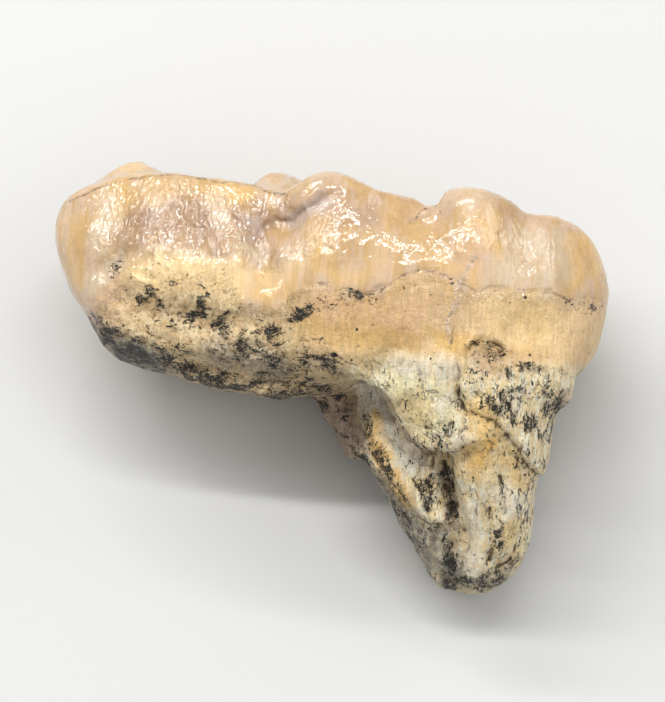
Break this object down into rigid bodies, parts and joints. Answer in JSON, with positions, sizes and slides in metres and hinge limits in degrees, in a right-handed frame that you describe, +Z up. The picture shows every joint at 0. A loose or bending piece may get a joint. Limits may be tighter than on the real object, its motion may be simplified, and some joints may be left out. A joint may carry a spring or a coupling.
{
  "type": "fossil cave bear tooth",
  "caption": "Fossil upper second molar of a cave bear, lying on its tongue side: a long crown with low cusps and a rear talon, and one long fused root.",
  "frame": {"origin": "centre of the bounding box, on the surface that the tooth lies on", "axes": "+X along the crown towards the front of the tooth, +Y towards the chewing surface, +Z up, from the tongue side to the cheek side"},
  "size_m": [0.0452, 0.0346, 0.0213],
  "materials": {
    "fossil_enamel": "glossy cream enamel with mineral stains; the root is matt to glossy with black manganese specks"
  },
  "bodies": {
    "root": {"cave_bear_tooth": "fossil_enamel"}
  },
  "joints": []
}
